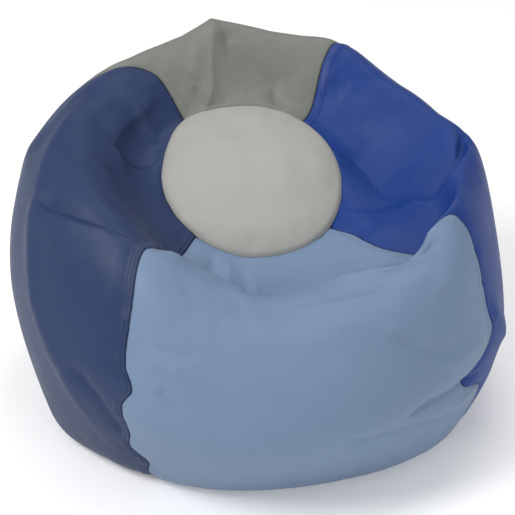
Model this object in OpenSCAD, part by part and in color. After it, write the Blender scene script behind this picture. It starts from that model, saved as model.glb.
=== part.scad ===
// Sewn vinyl bean bag seat: four coloured side panels, a round top cap, a
// two-piece base closed by a zip, a loose inner bag and its bead fill.
// The origin is on the floor under the middle of the bag, +Z is up and the
// low front lip of the seat faces -Y.

/* [Whole bag] */
// width of the filled bag across its belly
bag_w = 656; // [560:2:760]
// height of the shoulder all round, before the back rise
rim_h = 370; // [300:5:440]
// how far the back stands above that height
back_rise = 82; // [40:2:120]
// how far the front lip drops below it
front_drop = 92; // [40:2:130]
// width of the patch that rests on the floor
foot_w = 500; // [440:2:560]

/* [Top cap] */
// diameter of the round cap
cap_d = 232; // [180:2:280]
// height of the middle of the cap edge above the floor
cap_h = 325; // [260:5:380]
// how far the cap leans towards the front
cap_tilt = 27; // [10:1:35]
// how far the cap puffs up over its edge
cap_puff = 20; // [8:1:40]

/* [Cloth] */
// thickness of the vinyl
vinyl_t = 1.2; // [0.8:0.1:2]
// thickness of the inner bag
liner_t = 0.8; // [0.6:0.1:1.2]
// space between one layer and the next
layer_gap = 0.8; // [0.6:0.1:1.2]

/* [Topstitching] */
// first row of stitches from the seam
row_one = 3.5; // [2.5:0.1:5]
// distance between the two rows
row_gap = 5.7; // [4:0.1:8]
// thickness of the sewing thread as it lies on the vinyl
thread_t = 0.8; // [0.5:0.1:1.2]

/* [Zip] */
// length of the zip chain
zip_len = 300; // [200:10:340]
// how far the zip is sunk into the base
zip_sink = 3.2; // [3:0.1:4]
// width of each zip tape
tape_w = 12.6; // [10:0.2:16]
// length of the slider
slider_len = 11; // [9:0.5:14]
// width of the slider
slider_w = 8.4; // [7:0.2:10]

/* [Hidden] */

belly = bag_w / 2;
foot = foot_w / 2;
cols = 16;      // columns across one side panel
steps = 3;      // rows between two neighbouring rings
rings = 7;
rows = rings * steps;

// rings of the slumped shape from the cap down to the floor: radius, height
ring_r = [belly - 168, belly - 133, belly - 93, belly - 38, belly, belly - 45, foot];
ring_h = [rim_h - 50, rim_h - 10, rim_h, rim_h - 55, rim_h / 2, 32, 0];

// where the sitter and the seams have pushed the bag out of round:
// direction, half width, then outward shift and lift for each ring
pushes = [
  // back rise
  [ 98, 64, [-12, -10, -20, -12,  -6,   0,   0], [75, back_rise + 2, back_rise, 48, 12, 3, 0]],
  // front lip, sunk by the sitter's legs
  [280, 48, [-10, -10, -18, -12, -10, -30, -26], [-75, 4 - front_drop, -front_drop, -60, -40, -2, 0]],
  // low stretch of the lip beside the right front seam
  [312, 14, [  0,   0,   0,   0,   0,   0,   0], [ 0,  -6, -16,  -5,   0,   0,   0]],
  // right front seam standing up
  [333, 14, [  8,  36,  20,   8,   0,   0,   0], [ 4, -22,  21,  12,   0,   0,   0]],
  // left front seam standing up
  [235, 14, [  5,   8,  10,   0,   0,   0,   0], [ 0,   5,  10,  10,   0,   0,   0]],
  // left front corner, pulled in at the floor
  [232, 26, [  0,   0,   0,   0,   0,  -6,  -5], [ 0,   0,   0,   0,   0,   0,   0]],
  // right front corner, full at the floor
  [328, 24, [  0,   0,   0,   0,   0,  12,  12], [ 0,   0,   0,   0,   0,   0,   0]],
  // right side, pushed out low
  [  5, 35, [  5,  30,  35,  14,   4,  20,  16], [-15, -20, -15, -10, -45, 0,   0]],
  // corner on the right shoulder
  [ 18, 13, [  0,  10,  13,   7,   0,   0,   0], [ 0,   0,   3,   8,   0,   0,   0]],
  // back right seam
  [ 60, 14, [  0,   0,   8,   8,   0,   0,   0], [ 0,   4,  10,  10,   0,   0,   0]],
  // slack between the back right seam and the peak
  [ 82, 11, [  0,   0,   0,   0,   0,   0,   0], [ 0,   0,  -5,  -6,   0,   0,   0]],
  // peak in the middle of the back
  [106, 12, [  0,   0,   4,   4,   0,   0,   0], [ 0,   2,   6,   6,   0,   0,   0]],
  // left side, carried high
  [190, 48, [  0,  10,  14,   8,  -1,   7,  12], [ 5,   8,   8,  12,  22,   4,   0]],
  // back left shoulder
  [148, 20, [  0,   2,  12,  18,   5,   0,   0], [ 0,   2,   8,  10,   0,   0,   0]],
];

// direction of each seam at the cap edge and at the seven rings
seams = [
  [ 57,  61,  62,  61,  60,  60,  60,  60],   // royal to grey
  [135, 133, 136, 146, 152, 152, 152, 152],   // grey to navy
  [232, 232, 234, 235, 238, 239, 237, 236],   // navy to light blue
  [327, 330, 331, 333, 336, 337, 337, 337],   // light blue to royal
];

// the cap is pulled a little out of round by the seams
cap_pulls = [[135, 22, 0.10], [225, 30, -0.05], [322, 28, 0.04]];

function turn(a) = (a + 540) % 360 - 180;
function near(a, at, w) = exp(-pow(turn(a - at) / w, 2));
function total(v, i = 0) = i < len(v) ? v[i] + total(v, i + 1) : 0;
function unit(v) = v / norm(v);
function limit(x, lo, hi) = min(max(x, lo), hi);
function smooth(a, b, c, d, f) =
  0.5 * (2 * b + (c - a) * f + (2 * a - 5 * b + 4 * c - d) * f * f + (3 * b - a - 3 * c + d) * f * f * f);

// tilted plane of the cap edge
cap_mid = [-8, 18, cap_h];
cap_x = unit([1, 0, -0.05]);
cap_y = unit([0, cos(cap_tilt), sin(cap_tilt)] - cap_x * (cap_x * [0, cos(cap_tilt), sin(cap_tilt)]));
cap_up = unit(cross(cap_x, cap_y));
function cap_r(a) = cap_d / 2 * (1 + total([for (p = cap_pulls) p[2] * near(a, p[0], p[1])]));
function cap_edge(a) = cap_mid + cap_r(a) * (cos(a) * cap_x + sin(a) * cap_y);
function cap_point(a, q) = cap_mid + q * (cap_edge(a) - cap_mid) + cap_puff * (1 - pow(q, 2.6)) * cap_up;

// a point on ring k (0 is the cap edge) in direction a
function ring_point(k, a) = k == 0 ? cap_edge(a) :
  let (g = [for (p = pushes) near(a, p[0], p[1])],
       r = ring_r[k - 1] + total([for (i = [0:len(g) - 1]) g[i] * pushes[i][2][k - 1]]),
       z = ring_h[k - 1] + total([for (i = [0:len(g) - 1]) g[i] * pushes[i][3][k - 1]]))
  [r * cos(a), r * sin(a), z];

// a point on the outside of the bag, t rings down from the cap edge
function skin(a, t) =
  let (i = limit(floor(t), 0, rings - 1), f = t - i)
  smooth(ring_point(max(i - 1, 0), a), ring_point(i, a), ring_point(i + 1, a),
         ring_point(min(i + 2, rings), a), f);
function outward(a, t) =
  let (lo = max(t - 0.05, 0), hi = min(t + 0.05, rings))
  unit(cross(skin(a, hi) - skin(a, lo), skin(a + 0.5, t) - skin(a - 0.5, t)));
function layer(a, t, depth) = skin(a, t) - depth * outward(a, t);

function seam_at(s, t) =
  let (i = limit(floor(t), 0, rings - 1), f = t - i, v = seams[s % 4])
  smooth(v[max(i - 1, 0)], v[i], v[i + 1], v[min(i + 2, rings)], f) + (s > 3 ? 360 : 0);
// direction at share u of the way across panel s
function across(s, u, t) = seam_at(s, t) + u * (seam_at(s + 1, t) - seam_at(s, t));

// closed shell between two grids of points of the same size
module shell(outer, inner) {
  n = len(outer); m = len(outer[0]);
  pts = concat([for (r = outer) for (p = r) p], [for (r = inner) for (p = r) p]);
  function o(i, j) = i * m + j;
  function w(i, j) = n * m + i * m + j;
  polyhedron(pts, concat(
    [for (i = [0:n - 2]) for (j = [0:m - 2]) each [[o(i, j), o(i + 1, j + 1), o(i + 1, j)], [o(i, j), o(i, j + 1), o(i + 1, j + 1)]]],
    [for (i = [0:n - 2]) for (j = [0:m - 2]) each [[w(i, j), w(i + 1, j), w(i + 1, j + 1)], [w(i, j), w(i + 1, j + 1), w(i, j + 1)]]],
    [for (i = [0:n - 2]) each [[o(i, 0), w(i + 1, 0), w(i, 0)], [o(i, 0), o(i + 1, 0), w(i + 1, 0)],
                               [o(i, m - 1), w(i, m - 1), w(i + 1, m - 1)], [o(i, m - 1), w(i + 1, m - 1), o(i + 1, m - 1)]]],
    [for (j = [0:m - 2]) each [[o(0, j), w(0, j), w(0, j + 1)], [o(0, j), w(0, j + 1), o(0, j + 1)],
                               [o(n - 1, j), w(n - 1, j + 1), w(n - 1, j)], [o(n - 1, j), o(n - 1, j + 1), w(n - 1, j + 1)]]]));
}

// faces of a closed form made of rows between two end points
function closed_faces(n, m) = concat(
  [for (j = [0:m - 1]) [0, 1 + (j + 1) % m, 1 + j]],
  [for (i = [0:n - 2]) for (j = [0:m - 1]) let (g = (j + 1) % m) each
    [[1 + i * m + j, 1 + (i + 1) * m + g, 1 + (i + 1) * m + j],
     [1 + i * m + j, 1 + i * m + g, 1 + (i + 1) * m + g]]],
  [for (j = [0:m - 1]) [1 + n * m, 1 + (n - 1) * m + j, 1 + (n - 1) * m + (j + 1) % m]]);

// side panel s, just clear of its neighbours along the seams
module side_panel(s) {
  u = [for (j = [0:cols]) limit(j / cols, 0.0016, 0.9984)];
  t = [for (i = [0:rows]) limit(i / steps, 0.02, rings)];
  shell([for (v = t) [for (q = u) skin(across(s, q, v), v)]],
        [for (v = t) [for (q = u) layer(across(s, q, v), v, vinyl_t)]]);
}

// one row of topstitching beside the far seam of panel s, lying on the vinyl
module stitch_row(s, from_seam) {
  u = [(cols - 1) / cols, 0.9984];
  lift = 1.1;
  line = [for (i = [0:rows]) let (v = limit(i / steps, 0.12, rings - 0.16),
      e = skin(across(s, u[1], v), v), b = skin(across(s, u[0], v), v),
      side = unit(b - e), up = outward(across(s, u[1], v), v), p = e + from_seam * side)
    [for (c = [[-0.5, 0], [-0.5, 1], [0.5, 1], [0.5, 0]]) p + c[0] * thread_t * side + (lift + c[1] * thread_t) * up]];
  n = len(line);
  polyhedron([for (r = line) for (p = r) p], concat(
    [for (i = [0:n - 2]) for (j = [0:3]) let (k = (j + 1) % 4) each
      [[4 * i + j, 4 * i + 4 + k, 4 * i + k], [4 * i + j, 4 * i + 4 + j, 4 * i + 4 + k]]],
    [[0, 1, 2, 3], [4 * n - 1, 4 * n - 2, 4 * n - 3, 4 * n - 4]]));
}
module double_row(s) { stitch_row(s, row_one); stitch_row(s, row_one + row_gap); }

module panel_royal() { color([0.18, 0.31, 0.59]) side_panel(3); }
module panel_grey() { color([0.53, 0.54, 0.51]) side_panel(0); }
module panel_navy() { color([0.25, 0.30, 0.43]) side_panel(1); }
module panel_light_blue() { color([0.49, 0.56, 0.67]) side_panel(2); }
module stitching_royal() { color([0.20, 0.32, 0.60]) double_row(3); }
module stitching_grey() { color([0.50, 0.51, 0.48]) double_row(0); }
module stitching_navy() { color([0.30, 0.35, 0.47]) double_row(1); }
module stitching_light_blue() { color([0.45, 0.52, 0.63]) double_row(2); }

module top_cap() {
  shrink = 0.992;
  a = [for (j = [0:47]) 7.5 * j];
  q = [0.3, 0.55, 0.75, 0.9, 1];
  n = len(q); m = len(a);
  top = concat([cap_point(0, 0)], [for (v = q) for (b = a) cap_point(b, v * shrink)]);
  low = concat([cap_point(0, 0) - vinyl_t * cap_up], [for (v = q) for (b = a) cap_point(b, v * (shrink - 0.004)) - vinyl_t * cap_up]);
  k = len(top);
  color([0.70, 0.70, 0.67]) polyhedron(concat(top, low), concat(
    [for (j = [0:m - 1]) [0, 1 + (j + 1) % m, 1 + j]],
    [for (j = [0:m - 1]) [k, k + 1 + j, k + 1 + (j + 1) % m]],
    [for (i = [0:n - 2]) for (j = [0:m - 1]) let (g = (j + 1) % m) each
      [[1 + i * m + j, 1 + (i + 1) * m + g, 1 + (i + 1) * m + j], [1 + i * m + j, 1 + i * m + g, 1 + (i + 1) * m + g],
       [k + 1 + i * m + j, k + 1 + (i + 1) * m + j, k + 1 + (i + 1) * m + g], [k + 1 + i * m + j, k + 1 + (i + 1) * m + g, k + 1 + i * m + g]]],
    [for (j = [0:m - 1]) let (g = (j + 1) % m, r = 1 + (n - 1) * m) each
      [[r + j, r + g, k + r + g], [r + j, k + r + g, k + r + j]]]));
}

// the bag inside the vinyl at a given depth, its underside flat at height low
module inner_form(depth, low) {
  q = [0.35, 0.65, 0.88];
  t = [for (i = [0:rows]) i / steps];
  a = [for (v = t) [for (s = [0:3]) for (j = [0:cols - 1]) across(s, j / cols, v)]];
  function flat(p) = [p[0], p[1], max(p[2], low)];
  rim_up = [for (b = a[0]) unit(unit(outward(b, 0)) + cap_up)];
  pts = concat([cap_point(0, 0) - depth * cap_up],
    [for (v = q) for (b = a[0]) cap_point(b, v) - depth * cap_up],
    [for (j = [0:len(a[0]) - 1]) cap_edge(a[0][j]) - 1.15 * depth * rim_up[j]],
    [for (i = [1:rows]) for (b = a[i]) flat(layer(b, t[i], depth))],
    [[0, 0, low]]);
  polyhedron(pts, closed_faces(len(q) + 1 + rows, len(a[0])));
}
module liner_bag() {
  d = vinyl_t + layer_gap;
  low = 7;
  color([0.93, 0.93, 0.91]) difference() {
    inner_form(d, low);
    inner_form(d + liner_t, low + liner_t);
  }
}
module bead_fill() {
  color([0.97, 0.97, 0.96]) inner_form(vinyl_t + 2 * layer_gap + liner_t, 7 + liner_t + layer_gap);
}

// outline of the floor patch
module foot_outline(inset) {
  polygon([for (j = [0:71]) let (p = ring_point(rings, 5 * j), r = norm([p[0], p[1]]) - inset) r * [cos(5 * j), sin(5 * j)]]);
}
// half of the base: flat on the floor, stepped up beside the zip
module base_half(side) {
  win = 6;
  far = foot + 60;
  color([0.25, 0.30, 0.43]) intersection() {
    linear_extrude(height = 12) foot_outline(1.8);
    difference() {
      rotate([90, 0, 90]) translate([0, 0, -far]) linear_extrude(height = 2 * far)
        polygon([for (p = [[0.4, zip_sink], [15, zip_sink], [23, 0], [far, 0], [far, vinyl_t], [24, vinyl_t],
                           [16, zip_sink + vinyl_t], [0.4, zip_sink + vinyl_t]]) [side * p[0], p[1]]]);
      translate([-zip_len / 2 - 4, side > 0 ? -1 : -win, -1]) cube([zip_len + 8, win + 1, 12]);
    }
  }
}
module base_front() { base_half(-1); }
module base_rear() { base_half(1); }

tape_z = zip_sink + vinyl_t + 0.1;
coil_r = 0.9;
coil_z = tape_z - 0.1 - coil_r;
module zip_tape(side) {
  color([0.25, 0.30, 0.43]) translate([-zip_len / 2 - 12, side > 0 ? 1.4 : -1.4 - tape_w, tape_z]) cube([zip_len + 24, tape_w, 0.6]);
}
module zip_tape_front() { zip_tape(-1); }
module zip_tape_rear() { zip_tape(1); }
module zip_coil(side) {
  color([0.20, 0.24, 0.36]) translate([-zip_len / 2, side * 1.5, coil_z]) rotate([0, 90, 0]) cylinder(h = zip_len, r = coil_r, $fn = 24);
}
module zip_coil_front() { zip_coil(-1); }
module zip_coil_rear() { zip_coil(1); }

// slider at the closed end of its run: two plates and the thin neck between
slider_x = zip_len / 2 - slider_len / 2 - 1;
module zip_slider() {
  plate = 0.9;
  color([0.62, 0.63, 0.65]) translate([slider_x, 0, 0]) {
    for (z = [coil_z - coil_r - 0.4 - plate, tape_z + 1.0]) translate([0, 0, z]) linear_extrude(height = plate) hull() {
      translate([slider_len / 2 - 2, 0]) scale([1, slider_w / 4]) circle(r = 2, $fn = 32);
      translate([-slider_len / 2, -slider_w * 0.34]) square([1, slider_w * 0.68]);
    }
    translate([slider_len / 2 - 4.5, -0.3, coil_z - coil_r - 0.5]) cube([3.2, 0.6, tape_z + 1.1 - coil_z + coil_r + 0.5]);
  }
}
module top_stop(side) {
  color([0.62, 0.63, 0.65]) translate([zip_len / 2 + 0.3, side > 0 ? 0.45 : -2.65, coil_z - coil_r]) cube([2.4, 2.2, 2 * coil_r]);
}
module zip_top_stop_front() { top_stop(-1); }
module zip_top_stop_rear() { top_stop(1); }
module zip_bottom_stop() {
  color([0.62, 0.63, 0.65]) translate([-zip_len / 2 - 2.7, -2.6, coil_z - coil_r]) cube([2.4, 5.2, 2 * coil_r]);
}
module zip_stitching(side) {
  color([0.30, 0.35, 0.47]) translate([-zip_len / 2 - 8, side * 9.5 - thread_t / 2, zip_sink - 0.1 - thread_t]) cube([zip_len + 16, thread_t, thread_t]);
}
module zip_stitching_front() { zip_stitching(-1); }
module zip_stitching_rear() { zip_stitching(1); }

// small blank label lying on the back panel just above the base seam
module care_label() {
  a = [for (j = [0:6]) 88 + 1.5 * j];
  t = [for (i = [0:4]) 5.9 + 0.1 * i];
  color([0.92, 0.92, 0.90]) shell([for (v = t) [for (b = a) layer(b, v, -1.5)]], [for (v = t) [for (b = a) layer(b, v, -0.9)]]);
}

panel_navy();
panel_grey();
panel_royal();
panel_light_blue();
top_cap();
base_front();
base_rear();
stitching_navy();
stitching_grey();
stitching_royal();
stitching_light_blue();
zip_tape_front();
zip_tape_rear();
zip_coil_front();
zip_coil_rear();
zip_slider();
zip_top_stop_front();
zip_top_stop_rear();
zip_bottom_stop();
zip_stitching_front();
zip_stitching_rear();
care_label();
liner_bag();
bead_fill();
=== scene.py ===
# Vinyl bean bag seat: four sewn side panels round a puffy cap, topstitched
# seams, a zipped base, an inner bag and its beads. Lengths in the tables are
# millimetres; meshes are made in metres in the shared frame.
import bpy
import math
import numpy as np
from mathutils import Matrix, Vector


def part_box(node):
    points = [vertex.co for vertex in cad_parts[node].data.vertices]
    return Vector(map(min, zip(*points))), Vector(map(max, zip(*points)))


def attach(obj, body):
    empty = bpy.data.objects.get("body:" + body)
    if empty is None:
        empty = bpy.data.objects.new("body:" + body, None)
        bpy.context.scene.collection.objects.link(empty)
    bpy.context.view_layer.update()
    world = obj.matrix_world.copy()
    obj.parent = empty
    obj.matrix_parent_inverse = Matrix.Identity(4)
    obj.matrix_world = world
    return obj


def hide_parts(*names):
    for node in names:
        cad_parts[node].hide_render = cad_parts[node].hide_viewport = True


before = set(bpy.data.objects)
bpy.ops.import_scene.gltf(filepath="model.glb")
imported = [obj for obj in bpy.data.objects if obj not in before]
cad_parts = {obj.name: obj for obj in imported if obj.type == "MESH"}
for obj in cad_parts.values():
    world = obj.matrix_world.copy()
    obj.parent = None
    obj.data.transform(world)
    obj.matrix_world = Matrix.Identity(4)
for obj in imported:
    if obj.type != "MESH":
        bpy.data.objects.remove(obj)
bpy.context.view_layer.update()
MM = 0.001
BODY = "bag"
VINYL_WALL, BASE_WALL, FLOOR_GAP = 1.1, 1.2, 0.02


# ---- bag form

BELLY, FOOT, RIM = 328, 250, 370
BACK_RISE, FRONT_DROP = 82, 92
CAP_R, CAP_H, CAP_TILT, CAP_PUFF = 116, 325, 27, 20
RINGS = 7
NONE = [0] * RINGS
RING_R = [BELLY - 168, BELLY - 133, BELLY - 93, BELLY - 38, BELLY, BELLY - 45, FOOT]
RING_Z = [RIM - 50, RIM - 10, RIM, RIM - 55, RIM / 2, 32, 0]

# direction, half width, outward shift and lift at each ring
PUSHES = [
    ("back rise", 98, 64, [-12, -10, -20, -12, -6, 0, 0], [75, BACK_RISE + 2, BACK_RISE, 48, 12, 3, 0]),
    ("front lip", 280, 48, [-10, -10, -18, -12, -10, -30, -26],
     [-75, 4 - FRONT_DROP, -FRONT_DROP, -60, -40, -2, 0]),
    ("low lip", 312, 14, NONE, [0, -6, -16, -5, 0, 0, 0]),
    ("right standing seam", 333, 14, [8, 44, 20, 8, 0, 0, 0], [4, -26, 21, 12, 0, 0, 0]),
    ("foot of the right seam", 322, 7, [0, 5, 8, 0, 0, 0, 0], [0, -6, -12, -4, 0, 0, 0]),
    ("left standing seam", 235, 14, [5, 8, 10, 0, 0, 0, 0], [0, 5, 10, 10, 0, 0, 0]),
    ("left front corner", 232, 26, [0, 0, 0, 0, 0, -6, -5], NONE),
    ("left corner at the floor", 202, 13, [0, 0, 0, 0, 0, 8, 11], NONE),
    ("right front corner", 328, 24, [0, 0, 0, 0, 0, 12, 12], NONE),
    ("right side", 5, 35, [5, 30, 35, 14, 4, 20, 16], [-15, -20, -15, -10, -45, 0, 0]),
    ("right shoulder", 18, 13, [0, 10, 13, 7, 0, 0, 0], [0, 0, 3, 8, 0, 0, 0]),
    ("edge behind the corner", 24, 7, [0, 0, -3, -3, 0, 0, 0], [0, 0, -5, -5, 0, 0, 0]),
    ("back right seam", 60, 11, [0, 0, 8, 8, 0, 0, 0], [0, 4, 10, 10, 0, 0, 0]),
    ("slack by the peak", 84, 13, NONE, [0, 0, -4, -4, 0, 0, 0]),
    ("back peak", 106, 12, [0, 0, 4, 4, 0, 0, 0], [0, 2, 6, 6, 0, 0, 0]),
    ("left side", 190, 48, [0, 10, 14, 8, -1, 7, 12], [5, 8, 8, 12, 22, 4, 0]),
    ("left corner", 171, 13, [0, 0, 0, 7, 4, 0, 0], NONE),
    ("back left shoulder", 148, 20, [0, 2, 12, 18, 5, 0, 0], [0, 2, 8, 10, 0, 0, 0]),
]

# direction of each seam at the cap edge and at the seven rings
SEAMS = [
    [57, 61, 62, 61, 60, 60, 60, 60],
    [135, 133, 136, 146, 152, 152, 152, 152],
    [232, 232, 234, 235, 238, 239, 237, 236],
    [327, 330, 331, 333, 336, 337, 337, 337],
]
# where a seam wanders off its line: seam, ring, reach in rings, degrees
SEAM_KINKS = [
    (2, 4.8, 0.13, 2.2), (2, 5.6, 0.13, -2.2), (2, 5.85, 0.15, 1.6), (2, 5.15, 0.2, -0.8),
    (3, 5.13, 0.18, -12.0), (3, 4.83, 0.16, 2.5), (3, 5.5, 0.2, 1.0),
    (3, 2.6, 0.32, -8.0), (3, 0.6, 0.2, 1.2), (3, 1.25, 0.35, -1.8),
]
# where the cap's rim is drawn in: direction, half width, depth
CAP_DIMPLES = [
    (20, 7, 2.2), (3, 6, 1.8), (215, 8, 2.0), (300, 9, 2.2),
    (160, 9, 1.4), (100, 10, 1.2), (62, 9, 1.5), (250, 8, 1.4),
]
# soft dimples and swells of the cap: x, y, half width, half length, height
CAP_SLACK = [
    (-12, 60, 20, 18, -2.4), (-49, 38, 22, 18, 2.2), (40, 6, 18, 38, 1.6), (8, -40, 40, 20, -1.6),
]
# where the round of the cap is pulled out or in: direction, half width, share of its radius
CAP_PULLS = [(135, 22, 0.10), (225, 30, -0.05), (322, 28, 0.04)]

# folds in the cover: points (direction, ring), height, reach, crispness (small is
# sharp) and, for a lopsided one, how far it leans to the left of its line
FOLDS = [
    # grey panel
    ("peak crest", [(106, 3.3), (107, 2.6), (112, 1.55), (118, 0.5)], 8, 17, 1.5),
    ("peak valley", [(104, 2.4), (102, 1.85), (93, 1.45), (82, 1.1), (76, 0.4)], -7, 13, 3),
    ("left of peak", [(113, 2.3), (122, 1.5)], 4, 12, 4),
    ("pleat valley", [(122, 1.35), (122, 0.6)], -3.5, 5, 1),
    ("pleat crest", [(117, 1.4), (118, 0.5)], 2.5, 5, 1),
    # royal blue panel
    ("corner hollow", [(16, 3.45), (8, 3.0), (358, 2.2), (350, 1.75)], -9, 16, 4, 0.4),
    ("corner crease", [(15, 3.4), (8, 3.0), (358, 2.2), (350, 1.75)], -8, 12, 1.2, 0.5),
    ("corner crest", [(12, 3.4), (2, 2.9), (352, 2.4)], 3, 16, 3),
    ("inner hollow", [(31, 0.6), (16, 0.9), (2, 1.15), (350, 1.4)], -6, 14, 5),
    ("dimple by the grey seam", [(57, 1.8), (50, 1.65)], -2, 12, 4),
    ("side crest", [(338, 4.6), (347, 4.9), (352, 5.2)], 6, 14, 2),
    # navy panel
    ("pinched crest",
     [(194, 3.85), (201, 3.75), (212, 3.45), (219, 3.25), (225, 3.03), (234, 2.7)], 9, 15, 0.8, 0.5),
    ("pinched hollow",
     [(195, 3.78), (202, 3.62), (212, 3.3), (220, 3.03), (228, 2.75), (235, 2.45)], -10, 15, 1.2, -0.5),
    ("dent by the cap", [(152, 1.35), (164, 1.4), (176, 1.2)], -7, 20, 6),
    ("dent edge", [(139, 1.58), (150, 1.58), (163, 1.68), (173, 1.7), (178, 1.55), (183, 1.3)], 6, 12, 1.5, 0.5),
    ("shoulder", [(165, 2.9), (176, 3.23), (194, 3.75), (209, 4.62), (221, 5.03), (228, 5.55)], 6, 17, 5),
    ("low hollow", [(225, 4.9), (232, 5.1), (236, 5.5)], -7, 11, 2),
    # light blue panel
    ("lip left", [(236, 2.3), (244, 2.0), (256, 1.98), (270, 2.02)], 8, 10, 0.6, 0.6),
    ("lip right",
     [(271, 1.98), (285, 1.97), (296, 2.0), (304, 2.25), (309, 2.6), (315, 2.95), (322, 3.2)], 8, 10, 0.6, 0.6),
    ("lip roll", [(277, 3.1), (298, 3.3), (310, 3.45), (322, 3.7)], 3, 14, 3),
    ("crater left", [(240, 1.3), (256, 1.3), (270, 1.3)], -15, 15, 4),
    ("crater right", [(270, 1.3), (292, 1.35), (306, 1.7), (316, 2.2)], -14, 15, 4),
    ("ear edge", [(323, 3.1), (327, 2.85), (332, 2.75)], 6, 9, 2),
    ("crater crease", [(311, 0.6), (315, 1.3), (319, 2.0)], -5, 8, 2),
    ("crater crest", [(322, 0.6), (325, 1.3), (326, 1.9)], 3, 7, 2),
    ("crater fold", [(257, 0.3), (254, 1.7)], 2, 9, 3),
    ("crater fold valley", [(248, 0.3), (245, 1.7)], -3, 9, 3),
    ("dimple by the navy seam", [(248, 4.65), (252, 4.75)], -4, 9, 2),
    ("crest over the dimple", [(243, 4.45), (253, 4.4)], 3, 9, 3),
    ("short fold", [(245, 4.3), (256, 4.22)], -2, 7, 2),
    ("high dimple", [(320, 4.05), (324, 4.2)], -2, 9, 2),
    ("side fold", [(304, 4.15), (314, 4.53), (322, 4.72)], -4, 8, 2),
    ("side fold crest", [(303, 3.95), (314, 4.35), (323, 4.55)], 3, 9, 2),
    ("notch fold", [(331, 5.12), (320, 5.08), (312, 5.05), (305, 5.1)], -8, 8, 2),
    ("over the notch", [(334, 4.8), (316, 4.75)], 5, 14, 4),
    ("under the notch", [(333, 5.35), (312, 5.25)], 4, 10, 3),
    ("low fold", [(325, 5.45), (301, 5.2), (289, 5.15)], -5, 9, 2),
    # behind
    ("rear crest", [(170, 3.6), (166, 4.4), (172, 5.4)], 5, 24, 4),
    ("rear fold", [(76, 3.6), (84, 4.6), (80, 5.5)], -6, 22, 4),
    ("rear fold left", [(128, 4.0), (120, 5.0), (124, 5.8)], -6, 20, 4),
    ("rear ridge", [(100, 3.7), (104, 4.8), (100, 5.7)], 5, 20, 4),
    ("right fold", [(36, 3.9), (30, 4.8), (36, 5.7)], -6, 20, 4),
    ("right ridge", [(20, 3.9), (14, 4.8), (18, 5.6)], 5, 18, 4),
]

RUN = [0, 50, 95, 138, 220, 350, 508, 555]  # length down the panel at each ring
GIRTH = [CAP_R] + RING_R  # rough radius at each ring


def near(a, at, w):
    """1 in direction at, fading out over half width w."""
    return np.exp(-(((a - at + 180) % 360 - 180) / w) ** 2)


def smooth(a, b, c, d, f):
    """Smooth curve through four values in a row, at share f between the middle two."""
    return 0.5 * (2 * b + (c - a) * f + (2 * a - 5 * b + 4 * c - d) * f * f
                  + (3 * b - a - 3 * c + d) * f * f * f)


def unit(v):
    return v / np.maximum(np.linalg.norm(v, axis=-1, keepdims=True), 1e-9)


def ease(x):
    x = np.clip(x, 0, 1)
    return x * x * (3 - 2 * x)


CAP_MID = np.array([-8, 18, CAP_H], float)
CAP_X = unit(np.array([1, 0, -0.05]))
_lean = np.array([0, math.cos(math.radians(CAP_TILT)), math.sin(math.radians(CAP_TILT))])
CAP_Y = unit(_lean - CAP_X * (CAP_X @ _lean))
CAP_UP = unit(np.cross(CAP_X, CAP_Y))


def cap_edge(a):
    r = CAP_R * (1 + sum(p[2] * near(a, p[0], p[1]) for p in CAP_PULLS))
    k = np.radians(a)
    return CAP_MID + (r * np.cos(k))[..., None] * CAP_X + (r * np.sin(k))[..., None] * CAP_Y


def cap_point(a, q):
    return CAP_MID + q[..., None] * (cap_edge(a) - CAP_MID) + (CAP_PUFF * (1 - q ** 2.6))[..., None] * CAP_UP


def ring_points(a):
    """All eight rings in direction a, the cap edge first."""
    out = [cap_edge(a)]
    g = [near(a, p[1], p[2]) for p in PUSHES]
    for k in range(RINGS):
        r = RING_R[k] + sum(w * p[3][k] for w, p in zip(g, PUSHES))
        z = RING_Z[k] + sum(w * p[4][k] for w, p in zip(g, PUSHES))
        out.append(np.stack([r * np.cos(np.radians(a)), r * np.sin(np.radians(a)), z], -1))
    return np.stack(out)


def plain_skin(a, t):
    rings = ring_points(a)
    i = np.clip(np.floor(t).astype(int), 0, RINGS - 1)
    f = (t - i)[..., None]
    def pick(k):
        return np.take_along_axis(rings, np.clip(i + k, 0, RINGS)[None, ..., None], 0)[0]
    return smooth(pick(-1), pick(0), pick(1), pick(2), f)


def outward(a, t):
    lo, hi = np.maximum(t - 0.05, 0), np.minimum(t + 0.05, RINGS)
    down = plain_skin(a, hi) - plain_skin(a, lo)
    return unit(np.cross(down, plain_skin(a + 0.5, t) - plain_skin(a - 0.5, t)))


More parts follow.
